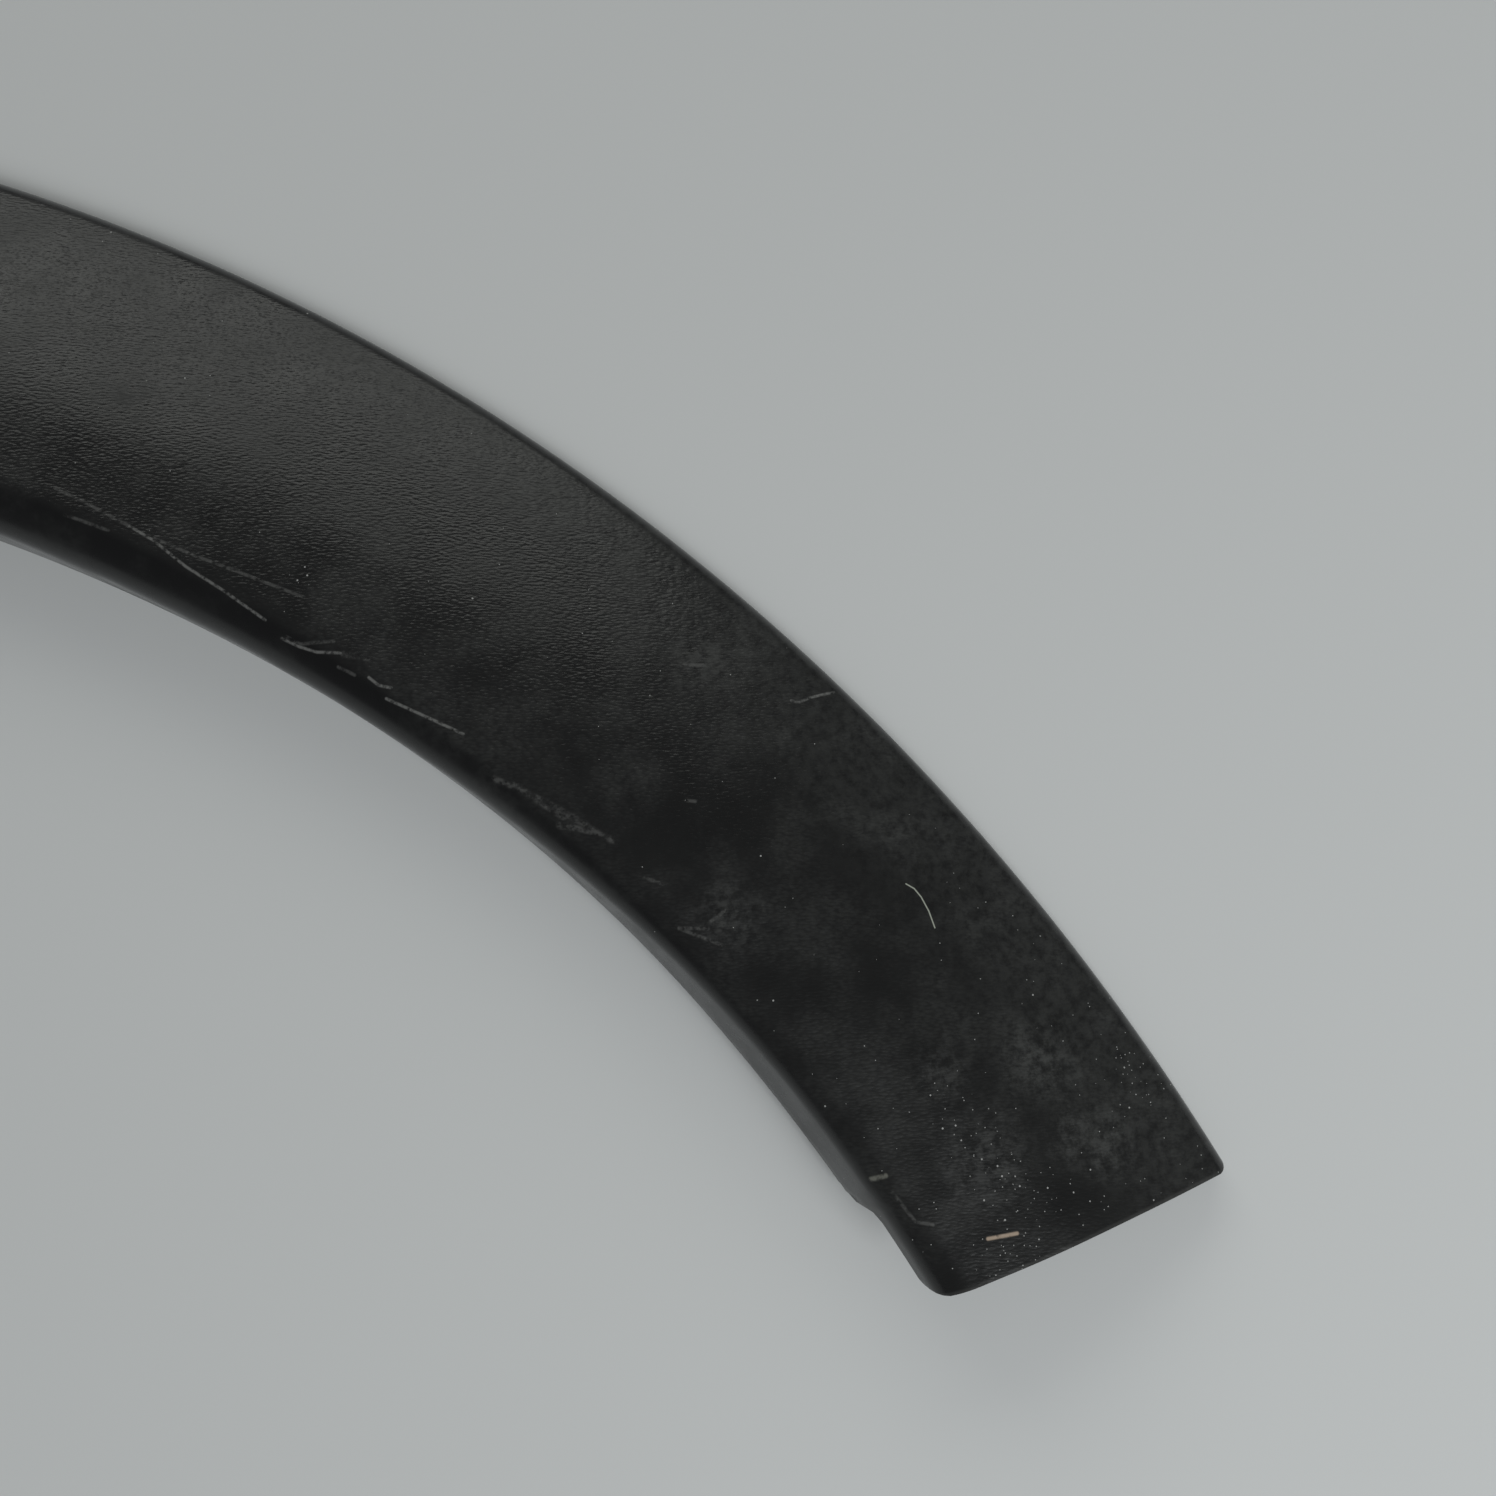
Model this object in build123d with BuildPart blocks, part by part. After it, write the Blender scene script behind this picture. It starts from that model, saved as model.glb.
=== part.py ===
import os
from math import acos, cos, degrees, hypot, radians, sin, sqrt, tan

from build123d import *

os.makedirs("parts", exist_ok=True)

# Wheel-arch molding in one moulded piece, lying face up on its rim and flange.
# X runs along the car, +Y points from the wheel to the crown of the arch, Z is up.
# Lengths in mm, angles in degrees from the crown.

# driving dimensions of the arch
outer_radius = 470.0     # arch centre to the outer rim
band_crown = 73.7        # rim to flange foot over the crown
band_leg = 65.8          # the same down the legs
taper_from = 35.0        # the band starts to narrow here
taper_to = 68.0          # and is at its leg width here
end_level = 86.2         # both ends are cut level at this height over the arch centre

# section
wall = 2.6
rise = 23.2              # height of the corner of face and flange, before it is rolled
rim_height = 6.0         # height of the corner of rim and face, before it is rounded
rim_draft = 0.5          # how far the rim leans in over that height
rim_round = 3.2
face_bulge = 3.0         # how far the face stands over its chord
flange_lean = 8.0        # the flange foot stands nearer the wheel than its top
roll_round = 5.0

# ends
tip_round_outer = 2.4
tip_round_inner = 5.0
relief_length = 24.0     # the flange stops this far before the end
relief_height = 15.0     # and only the roll above this height goes on
relief_run = 8.0         # length of the slanted stop

# clip seats, in pairs left and right of the crown
seat_angles = (10.0, 30.0, 50.0, 70.0)
seat_length = 24.0       # along the band
seat_width = 20.0        # across the band
seat_wall = 2.0
seat_floor = 2.5
seat_lift = 3.0          # underside of the seat over the plane of rim and flange foot
clip_hole = 8.0

# construction
stations = 19            # sections along the arch
spill = 8.0              # sections run this far below the floor, and are cut level there
run_out = 6.0            # and this many degrees past the ends

end_angle = degrees(acos(end_level / outer_radius))
arch_y = -(outer_radius + end_level) / 2   # arch centre, so that the outline is centred on Y
lean = tan(radians(flange_lean))


def band(angle):
    """Rim to flange foot at this angle: wide over the crown, narrower down the legs."""
    t = (abs(angle) - taper_from) / (taper_to - taper_from)
    t = min(max(t, 0.0), 1.0)
    return band_crown + (band_leg - band_crown) * t * t * (3.0 - 2.0 * t)


def across(angle, height=0.0):
    """Plane square to the band: local X points out from the arch centre, local Y is up."""
    a = radians(angle)
    return Plane(
        origin=(0, arch_y, height),
        x_dir=(sin(a), cos(a), 0),
        z_dir=(cos(a), -sin(a), 0),
    )


def profile(angle, inset):
    """Outline of the section at this angle, drawn in from the outside by inset."""
    foot = outer_radius - band(angle)
    rim_foot = (outer_radius + rim_draft * spill / rim_height, -spill)
    rim_top = (outer_radius - rim_draft, rim_height)
    shoulder = (foot + rise * lean, rise)
    flange_foot = (foot - spill * lean, -spill)
    dx, dz = shoulder[0] - rim_top[0], shoulder[1] - rim_top[1]
    chord = hypot(dx, dz)
    crest = (
        (rim_top[0] + shoulder[0]) / 2 + face_bulge * dz / chord,
        (rim_top[1] + shoulder[1]) / 2 - face_bulge * dx / chord,
    )
    with BuildSketch(across(angle)) as outline:
        with BuildLine():
            Line(flange_foot, rim_foot)
            Line(rim_foot, rim_top)
            ThreePointArc(rim_top, crest, shoulder)
            Line(shoulder, flange_foot)
        make_face()
        corners = outline.sketch_local.vertices().sort_by(Axis.Y)
        fillet(corners[-1], radius=roll_round)
        corners = outline.sketch_local.vertices().sort_by(Axis.X)
        rim_corner = [v for v in corners if abs(v.Y - rim_height) < 1e-6]
        fillet(rim_corner, radius=rim_round)
        if inset > 0:
            offset(amount=-inset, kind=Kind.INTERSECTION, mode=Mode.REPLACE)
    return outline


def skin(inset):
    """Solid under the outside of the molding, drawn in by inset."""
    reach = end_angle + run_out
    with BuildPart() as body:
        for i in range(stations):
            add(profile(-reach + 2 * reach * i / (stations - 1), inset).sketch)
        loft()
    return body


outside = skin(0.0)
hollow = skin(wall)
halfway = skin(wall / 2)     # clip seats end in the middle of the wall

# clip seat: a floor with a hole, held by three walls and open to one side for the clip's head
with BuildPart() as seat:
    with BuildSketch():
        Rectangle(seat_length, seat_width)
    extrude(amount=rise)
    with BuildSketch(Plane.XY.offset(seat_floor)):
        with Locations((seat_wall, 0)):
            Rectangle(seat_length, seat_width - 2 * seat_wall)
    extrude(amount=rise, mode=Mode.SUBTRACT)
    with BuildSketch():
        Circle(clip_hole / 2)
    extrude(amount=seat_floor, mode=Mode.SUBTRACT)

with BuildPart() as seats:
    for angle in seat_angles:
        for s in (1, -1):
            a = radians(s * angle)
            mid = outer_radius - band(angle) / 2
            place = Plane(
                origin=(mid * sin(a), arch_y + mid * cos(a), seat_lift),
                x_dir=(s * cos(a), -s * sin(a), 0),
                z_dir=(0, 0, 1),
            )
            with Locations(place):
                add(seat.part)
    add(halfway.part, mode=Mode.INTERSECT)

with BuildPart() as arch_molding:
    add(outside.part)
    add(hollow.part, mode=Mode.SUBTRACT)

    # rim and flange foot end level on the floor
    with BuildSketch(Plane.XY):
        Rectangle(4 * outer_radius, 4 * outer_radius)
    extrude(amount=-2 * spill, mode=Mode.SUBTRACT)

    leg_foot = outer_radius - band_leg
    for s in (1, -1):
        # level end with rounded corners
        y_end = arch_y + end_level
        tip = leg_foot + relief_height * lean
        x_out = sqrt(outer_radius**2 - (end_level + tip_round_outer) ** 2)
        x_in = sqrt(tip**2 - (end_level + tip_round_inner) ** 2)
        clear = 3 * band_crown
        soft = 1 - sqrt(0.5)
        with BuildSketch(Plane.XY.offset(-spill)):
            with BuildLine():
                Polyline(
                    (s * (x_in + tip_round_inner), y_end),
                    (s * (x_out - tip_round_outer), y_end),
                )
                ThreePointArc(
                    (s * (x_out - tip_round_outer), y_end),
                    (s * (x_out - soft * tip_round_outer), y_end + soft * tip_round_outer),
                    (s * x_out, y_end + tip_round_outer),
                )
                Polyline(
                    (s * x_out, y_end + tip_round_outer),
                    (s * (x_out + band_leg), y_end + tip_round_outer),
                    (s * (x_out + band_leg), y_end - clear),
                    (s * (x_in - band_leg), y_end - clear),
                    (s * (x_in - band_leg), y_end + tip_round_inner),
                    (s * x_in, y_end + tip_round_inner),
                )
                ThreePointArc(
                    (s * x_in, y_end + tip_round_inner),
                    (s * (x_in + soft * tip_round_inner), y_end + soft * tip_round_inner),
                    (s * (x_in + tip_round_inner), y_end),
                )
            make_face()
        extrude(amount=2 * rise + spill, mode=Mode.SUBTRACT)

        # the flange stops short of the end
        stop = degrees(acos(end_level / leg_foot)) - degrees(relief_length / leg_foot)
        a = radians(s * stop)
        inner_side = leg_foot - band_leg / 2
        stop_plane = Plane(
            origin=(inner_side * sin(a), arch_y + inner_side * cos(a), 0),
            x_dir=(s * cos(a), -s * sin(a), 0),
            z_dir=(s * sin(a), s * cos(a), 0),
        )
        with BuildSketch(stop_plane):
            with BuildLine():
                Polyline(
                    (0, 0),
                    (relief_run, relief_height),
                    (2 * relief_length, relief_height),
                    (2 * relief_length, -spill),
                    (0, -spill),
                    close=True,
                )
            make_face()
        deep = band_leg / 2 + relief_height * lean + 2 * wall
        extrude(amount=s * deep, mode=Mode.SUBTRACT)

    add(seats.part)

arch_molding.part.label = "arch_molding"
export_step(arch_molding.part, "parts/arch_molding.step")
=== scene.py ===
from math import acos, atan2, cos, hypot, radians, sin, sqrt, tan

import bpy
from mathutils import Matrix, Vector, kdtree, noise


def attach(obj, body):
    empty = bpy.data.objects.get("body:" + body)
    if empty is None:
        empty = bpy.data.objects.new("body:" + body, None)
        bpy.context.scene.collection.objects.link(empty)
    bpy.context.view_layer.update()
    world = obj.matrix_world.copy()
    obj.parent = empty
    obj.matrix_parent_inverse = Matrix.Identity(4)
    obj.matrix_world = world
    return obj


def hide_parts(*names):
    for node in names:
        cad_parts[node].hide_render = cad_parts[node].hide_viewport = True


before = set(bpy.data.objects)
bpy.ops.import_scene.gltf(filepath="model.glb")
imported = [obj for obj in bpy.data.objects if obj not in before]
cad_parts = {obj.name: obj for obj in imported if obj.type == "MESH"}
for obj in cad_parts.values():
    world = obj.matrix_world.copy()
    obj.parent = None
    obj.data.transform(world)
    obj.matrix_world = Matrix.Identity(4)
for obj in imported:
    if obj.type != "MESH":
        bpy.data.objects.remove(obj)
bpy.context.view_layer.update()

bpy.ops.object.select_all(action="DESELECT")

# Wheel-arch molding lying face up on its rim and flange.
# X along the car, +Y from the wheel to the crown, Z up; metres; angles from the crown.
MM = 0.001

# arch, as in the CAD part
OUTER_RADIUS = 470 * MM
BAND_CROWN = 73.7 * MM
BAND_LEG = 65.8 * MM
TAPER_FROM = radians(35)
TAPER_TO = radians(68)
END_LEVEL = 86.2 * MM
ARCH_Y = -(OUTER_RADIUS + END_LEVEL) / 2
ARCH_CENTRE = Vector((0, ARCH_Y, 0))
END_Y = ARCH_Y + END_LEVEL

# section, as in the CAD part but for its fuller rim and the corner of its face
WALL = 2.6 * MM
RISE = 23.2 * MM
RIM_HEIGHT = 6.0 * MM
RIM_DRAFT = 0.5 * MM
RIM_ROUND = 5.0 * MM
FACE_BULGE = 3.0 * MM
SHOULDER_IN = 1.2 * MM   # the face is drawn to a corner this far out from the flange's foot

# the roll is fuller than in the CAD part, over a flange that stands upright at the crown;
# down the legs the roll tightens and the flange leans out over a short upright foot
ROLL_ROUND, LEG_ROLL_ROUND = 9.5 * MM, 7.3 * MM
LEG_LEAN = tan(radians(17))
FLANGE_KNEE = 5.5 * MM
LEAN_FROM, LEAN_TO = radians(54), radians(72)

# low ridge along the face and its slight waves; shares of the way from the rim to the roll
RIDGE_HEIGHT = 0.6 * MM
RIDGE_START, RIDGE_AT = 0.3, 0.68
WAVE_HEIGHT = 0.25 * MM
WAVE_LENGTH = 24 * MM
WAVE_FADE = 0.2

# ends, as in the CAD part but for a relief that starts 1 mm lower
TIP_ROUND_OUTER = 2.4 * MM
TIP_ROUND_INNER = 5.0 * MM
RELIEF_LENGTH = 24 * MM
RELIEF_HEIGHT = 14 * MM
RELIEF_RUN = 8 * MM
LEG_FOOT = OUTER_RADIUS - BAND_LEG
RELIEF_FROM = acos(END_LEVEL / LEG_FOOT) - RELIEF_LENGTH / LEG_FOOT
RELIEF_TO = RELIEF_FROM + RELIEF_RUN / LEG_FOOT

# clip seats, as in the CAD part
SEAT_ANGLES = (10, 30, 50, 70)
SEAT_LENGTH = 24 * MM
SEAT_WIDTH = 20 * MM
SEAT_WALL = 2 * MM
SEAT_FLOOR = 2.5 * MM
SEAT_LIFT = 3 * MM
CLIP_HOLE = 8 * MM

# how finely the sweep is divided
SWEEP_STEPS = 480
SWEEP_REACH = acos(END_LEVEL / OUTER_RADIUS) + radians(3)
SWEEP_STEP = 2 * SWEEP_REACH / SWEEP_STEPS
OUTSIDE = {"rim": 3, "corner": 8, "face": 32, "roll": 14, "flange": 6, "foot": 2}
INSIDE = {"rim": 2, "corner": 3, "face": 16, "roll": 6, "flange": 4, "foot": 2}
TIP_CUTS = 5             # cuts that round one corner of an end
HOLE_SIDES = 40
MERGE_GAP = 0.01 * MM
CUT_GAP = 0.001 * MM
SMOOTH_ANGLE = radians(35)

# how the photograph is taken
VIEW_TURN = radians(20)
VIEW_RISE = radians(82)
VIEW_DISTANCE = 311.04 * MM
VIEW_TARGET = Vector((401.8 * MM, -80.7 * MM, 0))
LENS = 36.096
SENSOR = 36.0


def ramp(value, low, high):
    """0 at low, 1 at high, smooth between."""
    t = min(max((value - low) / (high - low), 0.0), 1.0)
    return t * t * (3 - 2 * t)


def band(angle):
    """Rim to flange foot: wide over the crown, narrower down the legs."""
    return BAND_CROWN + (BAND_LEG - BAND_CROWN) * ramp(abs(angle), TAPER_FROM, TAPER_TO)


def at(radius, height, angle):
    return Vector((radius * sin(angle), ARCH_Y + radius * cos(angle), height))


def rounding(foot, up, inward, face_at, face_radius, radius):
    """Centre of the rounding between a straight side and the arc of the face."""
    start = foot + inward * radius
    reach = start - face_at
    along = reach.dot(up)
    gap = reach.length_squared - (face_radius - radius) ** 2
    return start + up * (sqrt(along * along - gap) - along)


def arc(centre, radius, start, end, count):
    """Points from one direction to the next, without the last."""
    a, b = atan2(start.y, start.x), atan2(end.y, end.x)
    turns = (a + (b - a) * i / count for i in range(count))
    return [centre + radius * Vector((cos(t), sin(t))) for t in turns]


def straight(start, end, count):
    """Points from start to end, without the last."""
    return [start.lerp(end, i / count) for i in range(count)]


def height_on(path, radius):
    """Height at this radius on a row of points that runs inwards."""
    for a, b in zip(path, path[1:]):
        if b.x <= radius <= a.x:
            return a.y + (b.y - a.y) * (a.x - radius) / (a.x - b.x)
    return path[-1].y


def slide_up(path, lift):
    """Draw a row of points that runs down together over the lowest lift of it."""
    top = path[0].y
    slid = []
    for point in path:
        height = lift + point.y * (top - lift) / top
        for a, b in zip(path, path[1:]):
            if b.y <= height <= a.y:
                slid.append(a.lerp(b, (a.y - height) / (a.y - b.y)))
                break
    return slid


class Section:
    """Section square to the band at one angle: (distance from the arch centre, height)."""

    def __init__(self, angle):
        self.angle = abs(angle)
        leg = ramp(self.angle, LEAN_FROM, LEAN_TO)
        self.rim_foot = Vector((OUTER_RADIUS, 0))
        self.foot = Vector((OUTER_RADIUS - band(angle), 0))
        shoulder = self.foot + Vector((SHOULDER_IN, RISE))
        rim_top = self.rim_foot + Vector((-RIM_DRAFT, RIM_HEIGHT))
        chord = shoulder - rim_top
        face_up = Vector((chord.y, -chord.x)).normalized()
        self.face_radius = (chord.length_squared / 4 + FACE_BULGE**2) / (2 * FACE_BULGE)
        self.face_at = (rim_top + shoulder) / 2 - face_up * (self.face_radius - FACE_BULGE)
        self.rim_up = (rim_top - self.rim_foot).normalized()
        self.rim_in = Vector((-self.rim_up.y, self.rim_up.x))
        self.rim_at = rounding(
            self.rim_foot, self.rim_up, self.rim_in, self.face_at, self.face_radius, RIM_ROUND
        )
        lean = leg * LEG_LEAN
        self.roll = ROLL_ROUND + leg * (LEG_ROLL_ROUND - ROLL_ROUND)
        self.flange_up = Vector((lean, 1)).normalized()
        self.flange_in = Vector((self.flange_up.y, -self.flange_up.x))
        self.roll_at = rounding(
            self.foot - Vector((lean * FLANGE_KNEE, 0)), self.flange_up, self.flange_in,
            self.face_at, self.face_radius, self.roll,
        )

    def outline(self, inset, rim, corner, face, roll, flange, foot):
        """Points from the rim's foot to the flange's foot, drawn in by inset."""
        face_start = self.rim_at - self.face_at
        face_end = self.roll_at - self.face_at
        rim_top = self.rim_at - self.rim_in * (RIM_ROUND - inset)
        rim_low = rim_top - self.rim_up * (rim_top.y / self.rim_up.y)
        top = self.roll_at - self.flange_in * (self.roll - inset)
        knee = top - self.flange_up * ((top.y - FLANGE_KNEE) / self.flange_up.y)
        low = Vector((knee.x, 0))
        points = (
            straight(rim_low, rim_top, rim)
            + arc(self.rim_at, RIM_ROUND - inset, -self.rim_in, face_start, corner)
            + arc(self.face_at, self.face_radius - inset, face_start, face_end, face)
            + arc(self.roll_at, self.roll - inset, face_end, -self.flange_in, roll)
            + straight(top, knee, flange)
            + straight(knee, low, foot)
            + [low]
        )
        lift = RELIEF_HEIGHT * ramp(self.angle, RELIEF_FROM, RELIEF_TO)
        kept = rim + corner + face + roll // 3   # the roll's first third stays as it is
        return points[:kept] + slide_up(points[kept:], lift)

    def loop(self):
        """Outside from the rim to the flange, and inside back again."""
        return self.outline(0.0, **OUTSIDE) + self.outline(WALL, **INSIDE)[::-1]


def open_for_edit(piece, mode="VERT"):
    bpy.context.view_layer.objects.active = piece
    bpy.ops.object.mode_set(mode="EDIT")
    bpy.ops.mesh.select_mode(type=mode)


def pick_faces(piece, wanted):
    """Open a piece for editing with the wanted faces selected."""
    open_for_edit(piece, "FACE")
    bpy.ops.mesh.select_all(action="DESELECT")
    bpy.ops.object.mode_set(mode="OBJECT")
    for face in piece.data.polygons:
        face.select = wanted(face)
    open_for_edit(piece, "FACE")


def cut_off(point, direction):
    """Cut the selected faces by a plane, take off what lies along direction, close the cut."""
    bpy.ops.mesh.bisect(
        plane_co=point, plane_no=direction, use_fill=True, clear_outer=True, threshold=CUT_GAP
    )


# ---------------------------------------------------------------- the molding's shell

def draw_section():
    """The crown's closed section, drawn point by point where the sweep starts."""
    loop = [at(p.x, p.y, SWEEP_REACH) for p in Section(0).loop()]
    bpy.ops.mesh.primitive_plane_add(size=1 * MM, location=loop[0])
    piece = bpy.context.object
    bpy.ops.object.transform_apply(location=True, rotation=False, scale=False)
    open_for_edit(piece)
    bpy.ops.mesh.select_all(action="SELECT")
    bpy.ops.mesh.merge(type="CENTER")
    for here, there in zip(loop, loop[1:] + loop[:1]):
        bpy.ops.mesh.extrude_region_move(TRANSFORM_OT_translate={"value": there - here})
    bpy.ops.mesh.select_all(action="SELECT")
    bpy.ops.mesh.remove_doubles(threshold=MERGE_GAP)
    return piece


def sweep(piece):
    """Spin the section round the wheel opening."""
    bpy.ops.mesh.select_all(action="SELECT")
    bpy.ops.mesh.spin(
        steps=SWEEP_STEPS, angle=-2 * SWEEP_REACH, center=ARCH_CENTRE, axis=(0, 0, 1)
    )
    bpy.ops.mesh.select_all(action="SELECT")
    bpy.ops.mesh.remove_doubles(threshold=MERGE_GAP)
    bpy.ops.mesh.normals_make_consistent(inside=False)
    bpy.ops.object.mode_set(mode="OBJECT")


def form(piece):
    """Give the sweep its own section at each step, with a low ridge and waves in the face."""
    crown = Section(0).loop()
    tree = kdtree.KDTree(len(crown))
    for i, point in enumerate(crown):
        tree.insert(point.to_3d(), i)
    tree.balance()
    sections = [Section(i * SWEEP_STEP - SWEEP_REACH) for i in range(SWEEP_STEPS + 1)]
    loops = [section.loop() for section in sections]
    for vertex in piece.data.vertices:
        x, y, z = vertex.co
        angle = atan2(x, y - ARCH_Y)
        step = round((angle + SWEEP_REACH) / SWEEP_STEP)
        point = loops[step][tree.find((hypot(x, y - ARCH_Y), z, 0))[1]]
        outer, inner = sections[step].rim_at.x, sections[step].roll_at.x
        share = min(max((outer - point.x) / (outer - inner), 0.0), 1.0)
        spread = ramp(share, 0.0, WAVE_FADE) * ramp(share, 1.0, 1 - WAVE_FADE)
        ridge = ramp(share, RIDGE_START, RIDGE_AT) * ramp(share, 1.0, RIDGE_AT)
        wave = noise.noise(Vector((x, y, 0)) / WAVE_LENGTH)
        height = point.y + RIDGE_HEIGHT * ridge + WAVE_HEIGHT * spread * wave
        vertex.co = at(point.x, height, angle)


def trim_ends(piece):
    """Cut both legs off level and round the corners of the ends."""
    open_for_edit(piece, "FACE")
    bpy.ops.mesh.select_all(action="SELECT")
    cut_off((0, END_Y, 0), (0, -1, 0))
    relieved = Section(SWEEP_REACH).outline(0.0, **OUTSIDE)[-1].x
    corners = (
        (OUTER_RADIUS, -TIP_ROUND_OUTER, 1), (relieved, TIP_ROUND_INNER, -1)
    )
    near_end = END_Y + 3 * TIP_ROUND_INNER
    for side in (1, -1):
        for edge, inward, facing in corners:
            soft = abs(inward)
            radius = edge + inward
            angle = side * acos((END_LEVEL + soft) / radius)
            centre = at(radius, 0, angle)
            edge_out = at(facing, 0, angle) - ARCH_CENTRE
            start = atan2(edge_out.x, -edge_out.y)
            for i in range(1, TIP_CUTS + 1):
                turn = start * i / (TIP_CUTS + 1)
                out = Vector((sin(turn), -cos(turn), 0))
                pick_faces(
                    piece,
                    lambda face: face.center.x * side > 0 and face.center.y < near_end,
                )
                cut_off(centre + out * soft, out)
    bpy.ops.object.mode_set(mode="OBJECT")


# ---------------------------------------------------------------- clip seats on the back

def clip_seat():
    """Floor with a hole, held by three walls and open to one side for the clip's head."""
    bpy.ops.mesh.primitive_cube_add(size=1, location=(0, 0, RISE / 2))
    piece = bpy.context.object
    piece.dimensions = (SEAT_LENGTH + 2 * SEAT_WALL, SEAT_WIDTH, RISE)
    bpy.ops.object.transform_apply(location=True, rotation=True, scale=True)
    pick_faces(piece, lambda face: face.normal.z > 0.9)
    bpy.ops.mesh.inset(thickness=SEAT_WALL)
    bpy.ops.mesh.extrude_region_move(
        TRANSFORM_OT_translate={"value": (0, 0, SEAT_FLOOR - RISE)}
    )

    # the cut goes through the pocket, so that it opens to one side
    bpy.ops.mesh.select_all(action="SELECT")
    cut_off((SEAT_LENGTH / 2 - SEAT_WALL, 0, 0), (1, 0, 0))
    bpy.ops.mesh.select_all(action="SELECT")
    bpy.ops.transform.translate(value=(SEAT_WALL, 0, 0))
    bpy.ops.mesh.normals_make_consistent(inside=False)
    bpy.ops.object.mode_set(mode="OBJECT")

    bpy.ops.mesh.primitive_cylinder_add(
        vertices=HOLE_SIDES, radius=CLIP_HOLE / 2, depth=4 * SEAT_FLOOR, location=(0, 0, 0)
    )
    drill = bpy.context.object
    join_by(piece, drill, "DIFFERENCE")
    return piece


def join_by(piece, tool, operation):
    """Apply a boolean with another mesh, and take that mesh away."""
    cut = piece.modifiers.new("join", "BOOLEAN")
    cut.operation = operation
    cut.solver = "EXACT"
    cut.object = tool
    bpy.context.view_layer.objects.active = piece
    bpy.ops.object.modifier_apply(modifier=cut.name)
    bpy.data.objects.remove(tool)


def set_seats(pattern):
    """Copies of the seat in place, their tops moved to end inside the face's wall."""
    copies = []
    for degrees_from_crown in SEAT_ANGLES:
        for side in (1, -1):
            angle = side * radians(degrees_from_crown)
            middle = at(OUTER_RADIUS - band(angle) / 2, SEAT_LIFT, angle)
            along = Vector((side * cos(angle), -side * sin(angle), 0))
            across = Vector((-along.y, along.x, 0))
            copy = pattern.copy()
            copy.data = pattern.data.copy()
            bpy.context.collection.objects.link(copy)
            for vertex in copy.data.vertices:
                x, y, z = vertex.co
                spot = middle + along * x + across * y
                radius = hypot(spot.x, spot.y - ARCH_Y)
                section = Section(atan2(spot.x, spot.y - ARCH_Y))
                top = height_on(section.outline(WALL / 2, **INSIDE), radius)
                spot.z = top if z > RISE / 2 else SEAT_LIFT + z
                vertex.co = spot
            copies.append(copy)
    bpy.data.objects.remove(pattern)
    bpy.ops.object.select_all(action="DESELECT")
    for copy in copies:
        copy.select_set(True)
    bpy.context.view_layer.objects.active = copies[0]
    bpy.ops.object.join()
    return bpy.context.object


# ---------------------------------------------------------------- grained plastic

class Finish:
    """A material's nodes, added one by one."""

    def __init__(self, name):
        self.material = bpy.data.materials.new(name)
        self.material.use_nodes = True
        self.tree = self.material.node_tree
        self.shader = self.tree.nodes["Principled BSDF"]

    def add(self, kind, inputs, **settings):
        node = self.tree.nodes.new(kind)
        for name, value in settings.items():
            setattr(node, name, value)
        for key, value in inputs.items():
            if isinstance(value, bpy.types.NodeSocket):
                self.tree.links.new(value, node.inputs[key])
            else:
                node.inputs[key].default_value = value
        return node

    def math(self, operation, a, b=0.0):
        return self.add("ShaderNodeMath", {0: a, 1: b}, operation=operation).outputs[0]

    def vector(self, operation, a, b=(0, 0, 0), out=0):
        return self.add("ShaderNodeVectorMath", {0: a, 1: b}, operation=operation).outputs[out]

    def ramp(self, value, low, high, start=0.0, end=1.0):
        return self.add(
            "ShaderNodeMapRange",
            {0: value, 1: low, 2: high, 3: start, 4: end},
            interpolation_type="SMOOTHSTEP", clamp=False,
        ).outputs[0]

    def times(self, *values):
        result = values[0]
        for value in values[1:]:
            result = self.math("MULTIPLY", result, value)
        return result

    def most(self, values):
        result = values[0]
        for value in values[1:]:
            result = self.math("MAXIMUM", result, value)
        return result

    def noise(self, place, size, detail=2.0, rough=0.5, dimensions="3D"):
        return self.add(
            "ShaderNodeTexNoise",
            {"Vector": place, "Scale": 1 / size, "Detail": detail, "Roughness": rough},
            noise_dimensions=dimensions,
        ).outputs[0]

    def cells(self, place, size):
        """Random cells in plan, about one size across."""
        return self.add(
            "ShaderNodeTexVoronoi",
            {"Vector": place, "Scale": 1 / size, "Randomness": 1.0},
            voronoi_dimensions="2D",
        )

    def mix(self, share, first, second):
        node = self.add(
            "ShaderNodeMix", {0: share, 6: first, 7: second}, data_type="RGBA"
        )
        return node.outputs[2]

    def drive(self, socket, value):
        self.tree.links.new(value, self.shader.inputs[socket])


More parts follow.
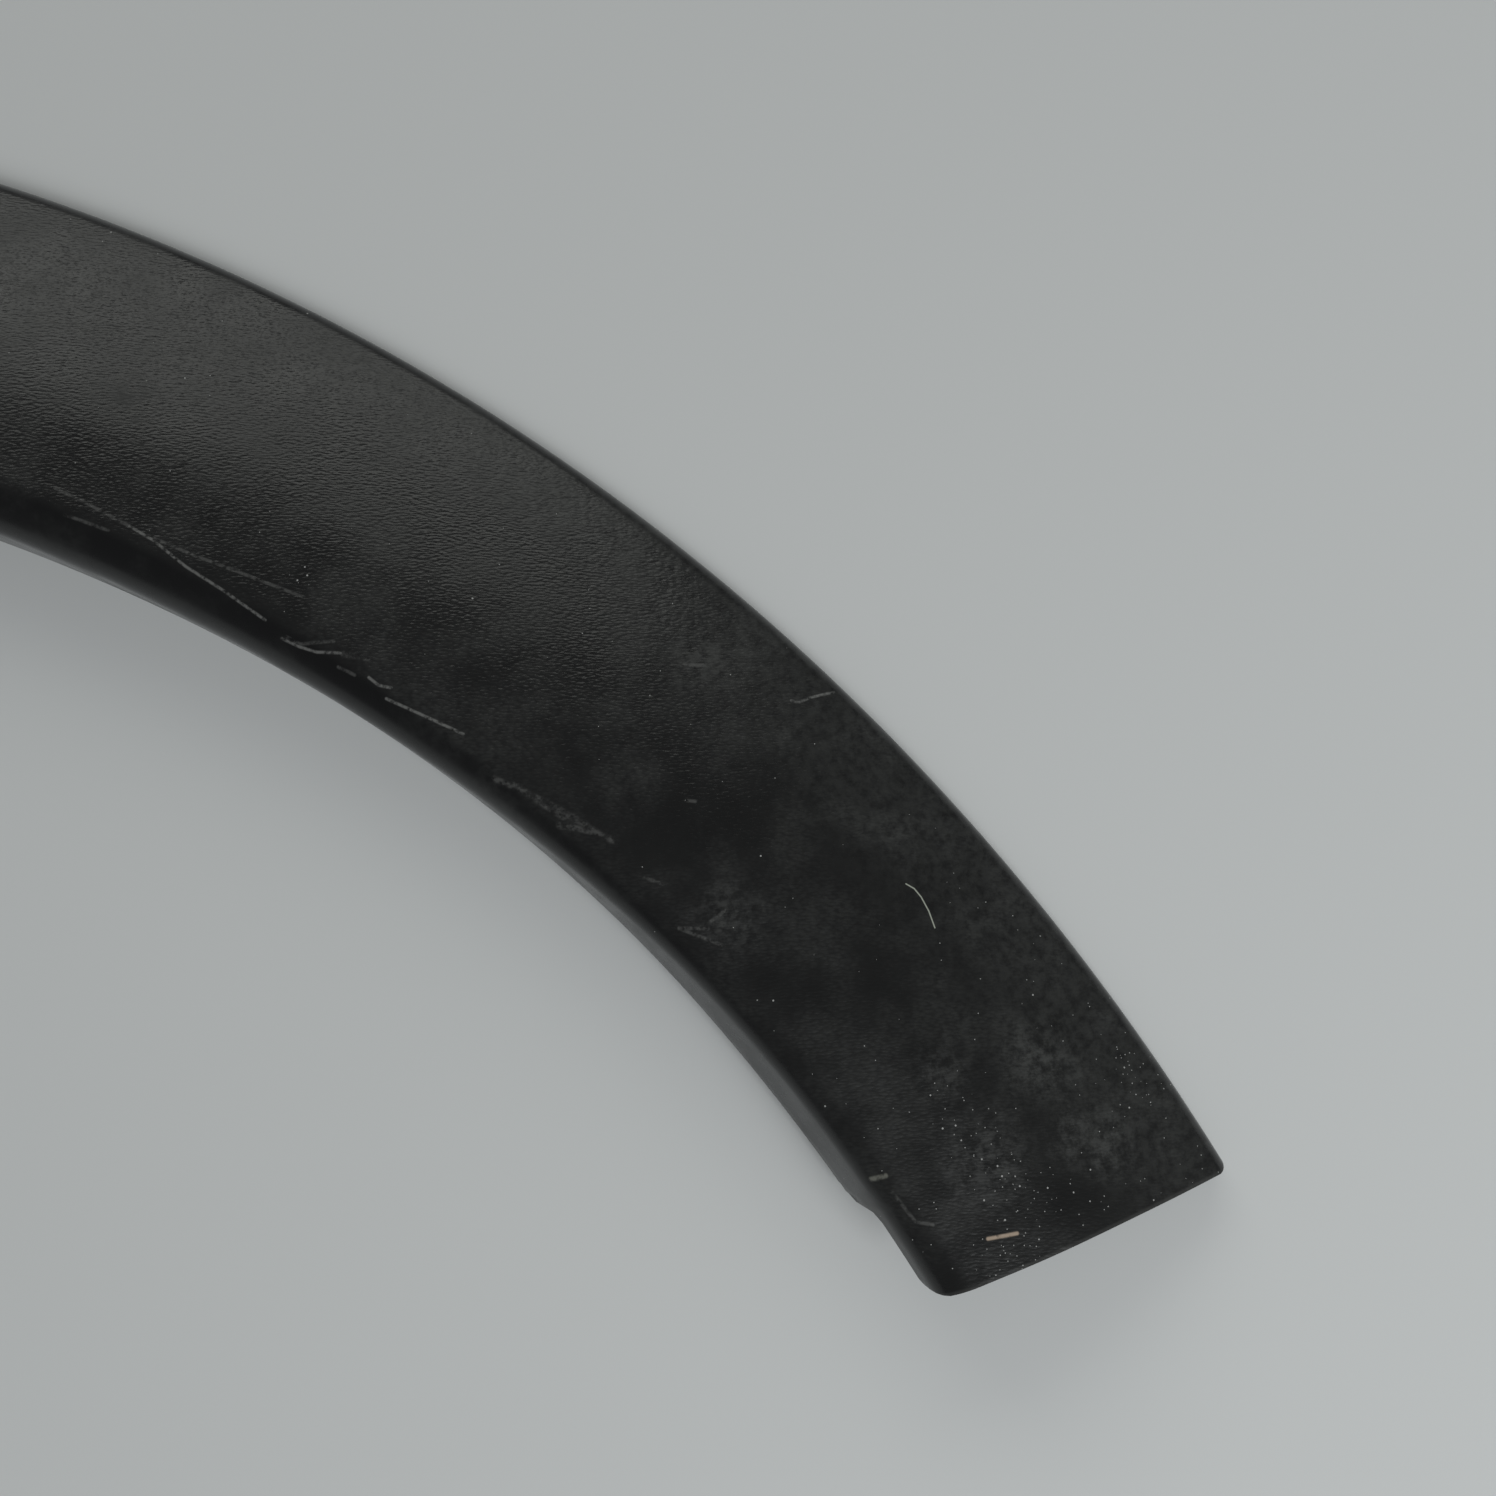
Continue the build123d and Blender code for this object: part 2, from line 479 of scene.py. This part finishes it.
def stroke_tool():
    """Node group: how far a place lies from a straight stroke, or from those before it."""
    tool = bpy.data.node_groups.new("stroke", "ShaderNodeTree")
    for name, kind in (
        ("Place", "NodeSocketVector"), ("Start", "NodeSocketVector"),
        ("Along", "NodeSocketVector"), ("Share", "NodeSocketFloat"),
        ("Before", "NodeSocketFloat"),
    ):
        tool.interface.new_socket(name, in_out="INPUT", socket_type=kind)
    tool.interface.new_socket("Distance", in_out="OUTPUT", socket_type="NodeSocketFloat")
    nodes, links = tool.nodes, tool.links
    given, result = nodes.new("NodeGroupInput"), nodes.new("NodeGroupOutput")

    def vector(operation, a, b):
        node = nodes.new("ShaderNodeVectorMath")
        node.operation = operation
        links.new(a, node.inputs[0])
        if b is not None:
            links.new(b, node.inputs["Scale" if operation == "SCALE" else 1])
        return node.outputs["Value" if operation in ("DOT_PRODUCT", "LENGTH") else "Vector"]

    def number(operation, a, b):
        node = nodes.new("ShaderNodeMath")
        node.operation = operation
        links.new(a, node.inputs[0])
        if isinstance(b, float):
            node.inputs[1].default_value = b
        else:
            links.new(b, node.inputs[1])
        return node.outputs[0]

    away = vector("SUBTRACT", given.outputs["Place"], given.outputs["Start"])
    dot = vector("DOT_PRODUCT", away, given.outputs["Along"])
    share = number("MULTIPLY", dot, given.outputs["Share"])
    share = number("MAXIMUM", number("MINIMUM", share, 1.0), 0.0)
    nearest = vector("SCALE", given.outputs["Along"], share)
    distance = vector("LENGTH", vector("SUBTRACT", away, nearest), None)
    links.new(number("MINIMUM", distance, given.outputs["Before"]), result.inputs["Distance"])
    return tool


# wear and dirt in plan (mm): rows of points with the width of each kind of line
DEEP_WIDTH = 0.42
DEEP_SCRATCHES = (
    ((301.6, -0.7), (305.2, -5.1), (309.6, -12.3), (315.0, -19.3), (320.9, -27.7)),
    ((322.7, -32.1), (325.2, -34.7), (328.4, -37.2), (332.8, -39.1)),
    ((336.4, -45.5), (337.7, -47.6), (339.9, -49.0)),
    ((338.2, -50.5), (344.0, -56.2), (350.1, -62.3)),
    ((412.8, -76.0), (414.0, -76.8), (416.7, -76.5), (421.9, -76.8)),
)
FAINT_WIDTH = 0.5
FAINT_SCRATCHES = (
    ((290.1, 11.7), (294.0, 7.7), (301.6, -0.7)),
    ((305.3, -4.6), (311.7, -10.6), (318.6, -16.5), (329.3, -25.9)),
    ((290.3, 5.9), (297.4, -0.1)),
    ((323.5, -32.0), (325.9, -34.6), (332.3, -36.4)),
    ((331.4, -41.4), (333.9, -44.0)),
    ((373.7, -100.3), (376.6, -102.6)),
    ((376.7, -111.5), (381.8, -113.5)),
    ((376.7, -111.6), (383.2, -117.2)),
    ((382.9, -112.3), (386.6, -111.2)),
    ((394.9, -62.4), (398.9, -63.8)),
    ((386.0, -88.8), (387.7, -89.6)),
    ((397.5, -170.9), (399.6, -177.1), (402.4, -178.6)),
)
SCUFF_WIDTH = 0.9
SCUFFS = (
    ((352.9, -72.5), (361.1, -80.5), (370.3, -91.6)),
    ((356.2, -75.0), (363.0, -84.1)),
    ((361.6, -85.2), (367.0, -88.4)),
    ((333.3, -39.5), (337.4, -41.8)),
)
FIBRE_WIDTH = 0.19
FIBRE = (
    ((421.0, -118.3), (422.2, -119.7), (422.9, -121.7), (423.3, -124.8), (423.2, -128.2)),
)
STRAW_WIDTH = 0.5
STRAW = (((411.1, -184.6), (416.6, -185.7)),)
FLECK_WIDTH = 0.7
FLECK = (((394.7, -167.4), (397.3, -167.5)),)

# round areas in plan (mm): x, y and size
DUST_CLUSTERS = (
    (416.4, -170.1, 8), (412.9, -187.7, 9), (449.9, -168.4, 10), (414.0, -159.3, 6),
    (330.6, -22.6, 5), (420.0, -180.0, 14),
)
SMEARS = (
    (413.6, -154.1, 9), (433.9, -174.3, 9), (432.7, -159.1, 12), (439.0, -177.7, 10),
    (416.4, -172.0, 14), (397.0, -62.0, 9), (307.8, 25.0, 9), (386.0, -112.0, 10),
)

# dust specks: cell and largest radius of each kind, and the share of cells that hold one
SPECKS = ((2.4 * MM, 0.18 * MM), (1.0 * MM, 0.11 * MM))
CLUSTER_DENSITY = 0.26
FACE_DENSITY, TIP_DENSITY = 0.004, 0.03

# the grain starts past the smooth roll and the rim's rounding
SMOOTH_CROWN, SMOOTH_LEG = 9.0 * MM, 5.6 * MM
ROLL_FADE = (-1.0 * MM, 1.2 * MM)
RIM_FADE = (1.5 * MM, 4.0 * MM)

# leather grain, drawn out across the leg and shallower towards the tip
GRAIN_CELL = (1.35 * MM, 0.5 * MM, 1.0 * MM)
FOLD_SHARE, PEBBLE_SHARE = 1.1, 0.9
GRAIN_DEPTH = 0.06 * MM
TIP_GRAIN = 0.45
TIP_GRAIN_FADE = (radians(58), radians(76))

# dirt: sizes of its clouds and the tip that gathers it; the painted sheen along the rim of the
# legs
CLOUD, FINE_CLOUD, TONE_CLOUD = 14 * MM, 2.2 * MM, 9 * MM
TIP_FADE = (radians(66), radians(79))
PAINTED_SHEEN_REACH = (34 * MM, 8 * MM)
PAINTED_SHEEN_FADE = (radians(46), radians(60))
GAPS = 1.6 * MM                         # length of the gaps in a scratch
END_EDGE_HIGHLIGHT = (0.9 * MM, 0.3 * MM)         # painted highlight along the edge of the cut end

# colours, and how much of each shows where it lies
# darker black: off the grained face, painted shade on the roll; the face takes a random tone
# between the two
ROLL_SHADE_BLACK, TONE = (0.0028, 0.0029, 0.0030, 1), (0.0105, 0.0107, 0.0102, 1)
DUST_AND_SHEEN_COLOUR = (0.15, 0.155, 0.145, 1)
FILM_SHOWS, PAINTED_SHEEN_SHOWS, TOPS_DUST_AND_HIGHLIGHT_SHOW, TIP_SHOWS = 0.07, 0.12, 0.055, 0.012
SMEAR_COLOUR, SMEAR_SHOWS = (0.16, 0.165, 0.155, 1), 0.11
WEAR_AND_HIGHLIGHT_COLOUR = (0.24, 0.24, 0.23, 1)
DEEP_SHOWS, FAINT_SHOWS, SCUFF_SHOWS, EDGE_HIGHLIGHT_SHOWS = 0.5, 0.2, 0.2, 0.09
DUST_COLOUR = (0.34, 0.34, 0.33, 1)
FLECK_COLOUR = (0.14, 0.14, 0.12, 1)
STRAW_COLOUR = (0.37, 0.29, 0.22, 1)
FIBRE_COLOUR = (0.36, 0.38, 0.32, 1)

# shine
ROLL_ROUGH, FACE_ROUGH = 0.26, 0.31
CLOUD_ROUGH = (-0.05, 0.07)
WORN_ROUGH = 0.3
SPECULAR = 0.4


class GrainedPlastic(Finish):
    """Black moulded plastic: leather grain on the face, smooth roll, dusty and scratched; with
    painted sheen, painted grain and end-edge highlights, and a roll painted darker as shade.
    """

    def __init__(self, name):
        super().__init__(name)
        self.stroke = stroke_tool()
        self.find_zones()
        self.draw_grain()
        self.lay_dirt_and_sheen()
        self.draw_wear_and_edge_highlight()
        self.set_colour()
        self.set_shine()
        self.set_relief()

    def strokes(self, lines, width):
        """Share of a soft line through each row of points (mm in plan)."""
        nearest = 1.0
        for line in lines:
            for start, end in zip(line, line[1:]):
                a, b = Vector(start).to_3d() * MM, Vector(end).to_3d() * MM
                nearest = self.add(
                    "ShaderNodeGroup",
                    {"Place": self.flat, "Start": a, "Along": b - a,
                     "Share": 1 / (b - a).length_squared, "Before": nearest},
                    node_tree=self.stroke,
                ).outputs[0]
        return self.ramp(nearest, width * MM, 0.25 * width * MM)

    def spots(self, places):
        """Share of soft round areas: (x, y, size) in mm in plan."""
        areas = []
        for x, y, size in places:
            gap = self.vector("DISTANCE", self.flat, (x * MM, y * MM, 0), out=1)
            areas.append(self.ramp(gap, size * MM, 0.0))
        return self.most(areas)

    def specks(self, cell, size, density):
        """Round specks of up to this size, one in a share of the cells."""
        grid = self.cells(self.flat, cell)
        draw = self.add("ShaderNodeSeparateColor", {0: grid.outputs["Color"]})
        chosen = self.math("LESS_THAN", draw.outputs[0], density)
        speck_size = self.ramp(draw.outputs[1], 0.0, 1.0, 0.5 * size / cell, size / cell)
        inside = self.math("LESS_THAN", grid.outputs["Distance"], speck_size)
        return self.times(chosen, inside, self.front)

    def find_zones(self):
        """Place along and across the band, the outside, and the grained part of it."""
        self.place = self.add("ShaderNodeTexCoord", {}).outputs["Object"]
        self.flat = self.vector("MULTIPLY", self.place, (1, 1, 0))
        from_arch = self.vector("SUBTRACT", self.flat, ARCH_CENTRE)
        radius = self.vector("LENGTH", from_arch, out=1)
        split = self.add("ShaderNodeSeparateXYZ", {0: from_arch})
        self.angle = self.math(
            "ABSOLUTE", self.math("ARCTAN2", split.outputs[0], split.outputs[1])
        )
        width = self.ramp(self.angle, TAPER_FROM, TAPER_TO, BAND_CROWN, BAND_LEG)
        self.outboard = self.math("SUBTRACT", OUTER_RADIUS, radius)
        inboard = self.math("SUBTRACT", width, self.outboard)
        smooth = self.ramp(self.angle, TAPER_FROM, TAPER_TO, SMOOTH_CROWN, SMOOTH_LEG)
        normal = self.add("ShaderNodeNewGeometry", {}).outputs["Normal"]
        facing_up = self.add("ShaderNodeSeparateXYZ", {0: normal}).outputs[2]
        self.front = self.ramp(facing_up, 0.1, 0.4)
        self.face = self.times(
            self.front,
            self.ramp(self.math("SUBTRACT", inboard, smooth), *ROLL_FADE),
            self.ramp(self.outboard, *RIM_FADE),
        )

    def draw_grain(self):
        grain_place = self.add(
            "ShaderNodeMapping",
            {"Vector": self.place, "Rotation": (0, 0, -VIEW_TURN), "Scale": GRAIN_CELL},
            vector_type="TEXTURE",
        ).outputs[0]
        pebbles = self.cells(grain_place, 1.0).outputs["Distance"]
        folds = self.noise(grain_place, 1.0, detail=1.0, rough=0.45, dimensions="2D")
        self.grain = self.math(
            "SUBTRACT",
            self.math("MULTIPLY", folds, FOLD_SHARE),
            self.math("MULTIPLY", pebbles, PEBBLE_SHARE),
        )
        fade = self.ramp(self.angle, *TIP_GRAIN_FADE, 1.0, TIP_GRAIN)
        self.grain_depth = self.times(self.grain, self.face, fade)

    def lay_dirt_and_sheen(self):
        """Dust film, painted sheen along the rim of the legs, pale tops of the grain (dust and
        painted highlights), smears and specks.
        """
        self.cloud = self.noise(self.place, CLOUD, detail=4.0, rough=0.6)
        self.fine_cloud = self.noise(self.place, FINE_CLOUD, detail=3.0, rough=0.7)
        self.tip = self.ramp(self.angle, *TIP_FADE)
        self.film = self.times(
            self.ramp(self.cloud, 0.45, 0.75), self.ramp(self.fine_cloud, 0.3, 0.7), self.front
        )
        # painted sheen: colour lightened along the outer strip of the legs
        self.painted_sheen = self.times(
            self.ramp(self.outboard, *PAINTED_SHEEN_REACH),
            self.ramp(self.angle, *PAINTED_SHEEN_FADE),
            self.ramp(self.fine_cloud, 0.25, 0.7), self.front,
        )
        # pale tops of the grain: dust on them, and painted highlights on the grain
        self.dust_and_highlit_tops = self.times(
            self.ramp(self.grain, -0.2, 0.5), self.ramp(self.cloud, 0.35, 0.65), self.face
        )
        self.smear = self.times(
            self.spots(SMEARS), self.ramp(self.fine_cloud, 0.35, 0.7), self.front
        )
        density = self.math(
            "ADD",
            self.math("MULTIPLY", self.spots(DUST_CLUSTERS), CLUSTER_DENSITY),
            self.ramp(self.tip, 0.0, 1.0, FACE_DENSITY, TIP_DENSITY),
        )
        self.dust = self.most([self.specks(cell, size, density) for cell, size in SPECKS])

    def draw_wear_and_edge_highlight(self):
        """Scratches, scuffs, the few fibres that lie on the face, and a painted highlight
        along the cut end.
        """
        broken = self.ramp(self.noise(self.place, GAPS, detail=3.0, rough=0.7), 0.35, 0.6)
        self.deep = self.times(self.strokes(DEEP_SCRATCHES, DEEP_WIDTH), broken, self.front)
        self.faint = self.times(self.strokes(FAINT_SCRATCHES, FAINT_WIDTH), broken, self.front)
        self.scuff = self.times(
            self.strokes(SCUFFS, SCUFF_WIDTH), broken,
            self.ramp(self.fine_cloud, 0.35, 0.6), self.front,
        )
        self.fibre = self.times(self.strokes(FIBRE, FIBRE_WIDTH), self.front)
        self.straw = self.times(
            self.strokes(STRAW, STRAW_WIDTH), self.ramp(self.fine_cloud, 0.2, 0.5), self.front
        )
        self.fleck = self.times(
            self.strokes(FLECK, FLECK_WIDTH), self.ramp(self.fine_cloud, 0.3, 0.6), self.front
        )
        # painted highlight: a thin lighter line along the edge of the cut end
        toward_crown = self.add("ShaderNodeSeparateXYZ", {0: self.place}).outputs[1]
        inside_end, at_end = END_EDGE_HIGHLIGHT
        self.end_edge_highlight = self.times(
            self.ramp(toward_crown, END_Y + inside_end, END_Y + at_end), self.front
        )

    def set_colour(self):
        # random tone on the face; off it the darker black, painted shade on the roll
        tone_and_roll_shade = self.times(self.noise(self.place, TONE_CLOUD), self.face)
        colour = self.mix(tone_and_roll_shade, ROLL_SHADE_BLACK, TONE)
        # one pale colour for the dust film, the painted sheen on the legs' rim, the grain tops
        # (dust and painted highlights) and dust at the tip
        dust_and_sheen = self.math(
            "ADD", self.times(self.film, FILM_SHOWS), self.times(self.painted_sheen, PAINTED_SHEEN_SHOWS)
        )
        # pale grain tops: dust and painted grain highlights
        dust_and_sheen = self.math("ADD", dust_and_sheen, self.times(self.dust_and_highlit_tops, TOPS_DUST_AND_HIGHLIGHT_SHOW))
        dust_and_sheen = self.math("ADD", dust_and_sheen, self.times(self.tip, self.face, TIP_SHOWS))
        colour = self.mix(dust_and_sheen, colour, DUST_AND_SHEEN_COLOUR)
        colour = self.mix(self.times(self.smear, SMEAR_SHOWS), colour, SMEAR_COLOUR)
        # scratches and scuffs, and the painted highlight along the cut end
        self.wear_and_edge_highlight = self.most([
            self.times(self.deep, DEEP_SHOWS), self.times(self.faint, FAINT_SHOWS),
            self.times(self.scuff, SCUFF_SHOWS), self.times(self.end_edge_highlight, EDGE_HIGHLIGHT_SHOWS),
        ])
        colour = self.mix(self.wear_and_edge_highlight, colour, WEAR_AND_HIGHLIGHT_COLOUR)
        colour = self.mix(self.dust, colour, DUST_COLOUR)
        colour = self.mix(self.fleck, colour, FLECK_COLOUR)
        colour = self.mix(self.straw, colour, STRAW_COLOUR)
        colour = self.mix(self.fibre, colour, FIBRE_COLOUR)
        self.drive("Base Color", colour)

    def set_shine(self):
        rough = self.ramp(self.face, 0.0, 1.0, ROLL_ROUGH, FACE_ROUGH)
        rough = self.math("ADD", rough, self.ramp(self.cloud, 0.3, 0.7, *CLOUD_ROUGH))
        dulled = self.most([self.wear_and_edge_highlight, self.dust, self.smear])
        rough = self.math("ADD", rough, self.times(dulled, WORN_ROUGH))
        self.drive("Roughness", rough)
        self.shader.inputs["Specular IOR Level"].default_value = SPECULAR

    def set_relief(self):
        relief = self.add(
            "ShaderNodeBump",
            {"Strength": 1.0, "Distance": GRAIN_DEPTH, "Height": self.grain_depth},
        ).outputs[0]
        self.drive("Normal", relief)


# ---------------------------------------------------------------- build the molding

arch = draw_section()
sweep(arch)
form(arch)
trim_ends(arch)
join_by(arch, set_seats(clip_seat()), "UNION")
arch.name = "arch_molding_grained"
arch.data.name = arch.name
bpy.ops.object.select_all(action="DESELECT")
arch.select_set(True)
bpy.context.view_layer.objects.active = arch
bpy.ops.object.shade_smooth_by_angle(angle=SMOOTH_ANGLE)
arch.data.materials.clear()
arch.data.materials.append(GrainedPlastic("grained_plastic").material)
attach(arch, "root")
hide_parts("arch_molding")


# ---------------------------------------------------------------- floor, light and camera

def pale_floor():
    bpy.ops.mesh.primitive_plane_add(size=8, location=(0, 0, 0))
    floor = bpy.context.object
    floor.name = "floor"
    finish = Finish("pale_floor")
    finish.shader.inputs["Base Color"].default_value = (0.61, 0.62, 0.615, 1)
    finish.shader.inputs["Roughness"].default_value = 0.9
    finish.shader.inputs["Specular IOR Level"].default_value = 0.1
    floor.data.materials.append(finish.material)


def soft_panel(name, turn, rise, distance, size, power, colour):
    """Area light that faces the leg; turn is clockwise from the picture's up."""
    heading = turn + VIEW_TURN
    out = Vector((sin(heading) * cos(rise), cos(heading) * cos(rise), sin(rise)))
    light = bpy.data.lights.new(name, "AREA")
    light.shape = "RECTANGLE"
    light.size, light.size_y = size
    light.energy = power
    light.color = colour
    panel = bpy.data.objects.new(name, light)
    panel.location = VIEW_TARGET + out * distance
    panel.rotation_euler = out.to_track_quat("Z", "Y").to_euler()
    bpy.context.collection.objects.link(panel)


def photo_camera():
    back = Vector((
        -sin(VIEW_TURN) * cos(VIEW_RISE), -cos(VIEW_TURN) * cos(VIEW_RISE), sin(VIEW_RISE)
    ))
    camera = bpy.data.objects.new("camera", bpy.data.cameras.new("camera"))
    camera.data.lens = LENS
    camera.data.sensor_width = SENSOR
    camera.data.clip_start = 10 * MM
    camera.location = VIEW_TARGET + back * VIEW_DISTANCE
    camera.rotation_euler = back.to_track_quat("Z", "Y").to_euler()
    bpy.context.collection.objects.link(camera)
    bpy.context.scene.camera = camera


pale_floor()
soft_panel(
    "far_panel", turn=radians(-12), rise=radians(31), distance=1.6,
    size=(1.6, 0.7), power=6.6, colour=(0.98, 1.0, 0.95),
)
soft_panel(
    "near_panel", turn=radians(142), rise=radians(40), distance=1.3,
    size=(0.7, 0.7), power=11.6, colour=(0.96, 0.99, 1.0),
)
photo_camera()

world = bpy.data.worlds.new("studio")
world.use_nodes = True
background = world.node_tree.nodes["Background"]
background.inputs["Color"].default_value = (0.95, 0.97, 1.0, 1)
background.inputs["Strength"].default_value = 0.18
bpy.context.scene.world = world
bpy.context.scene.view_settings.view_transform = "Standard"
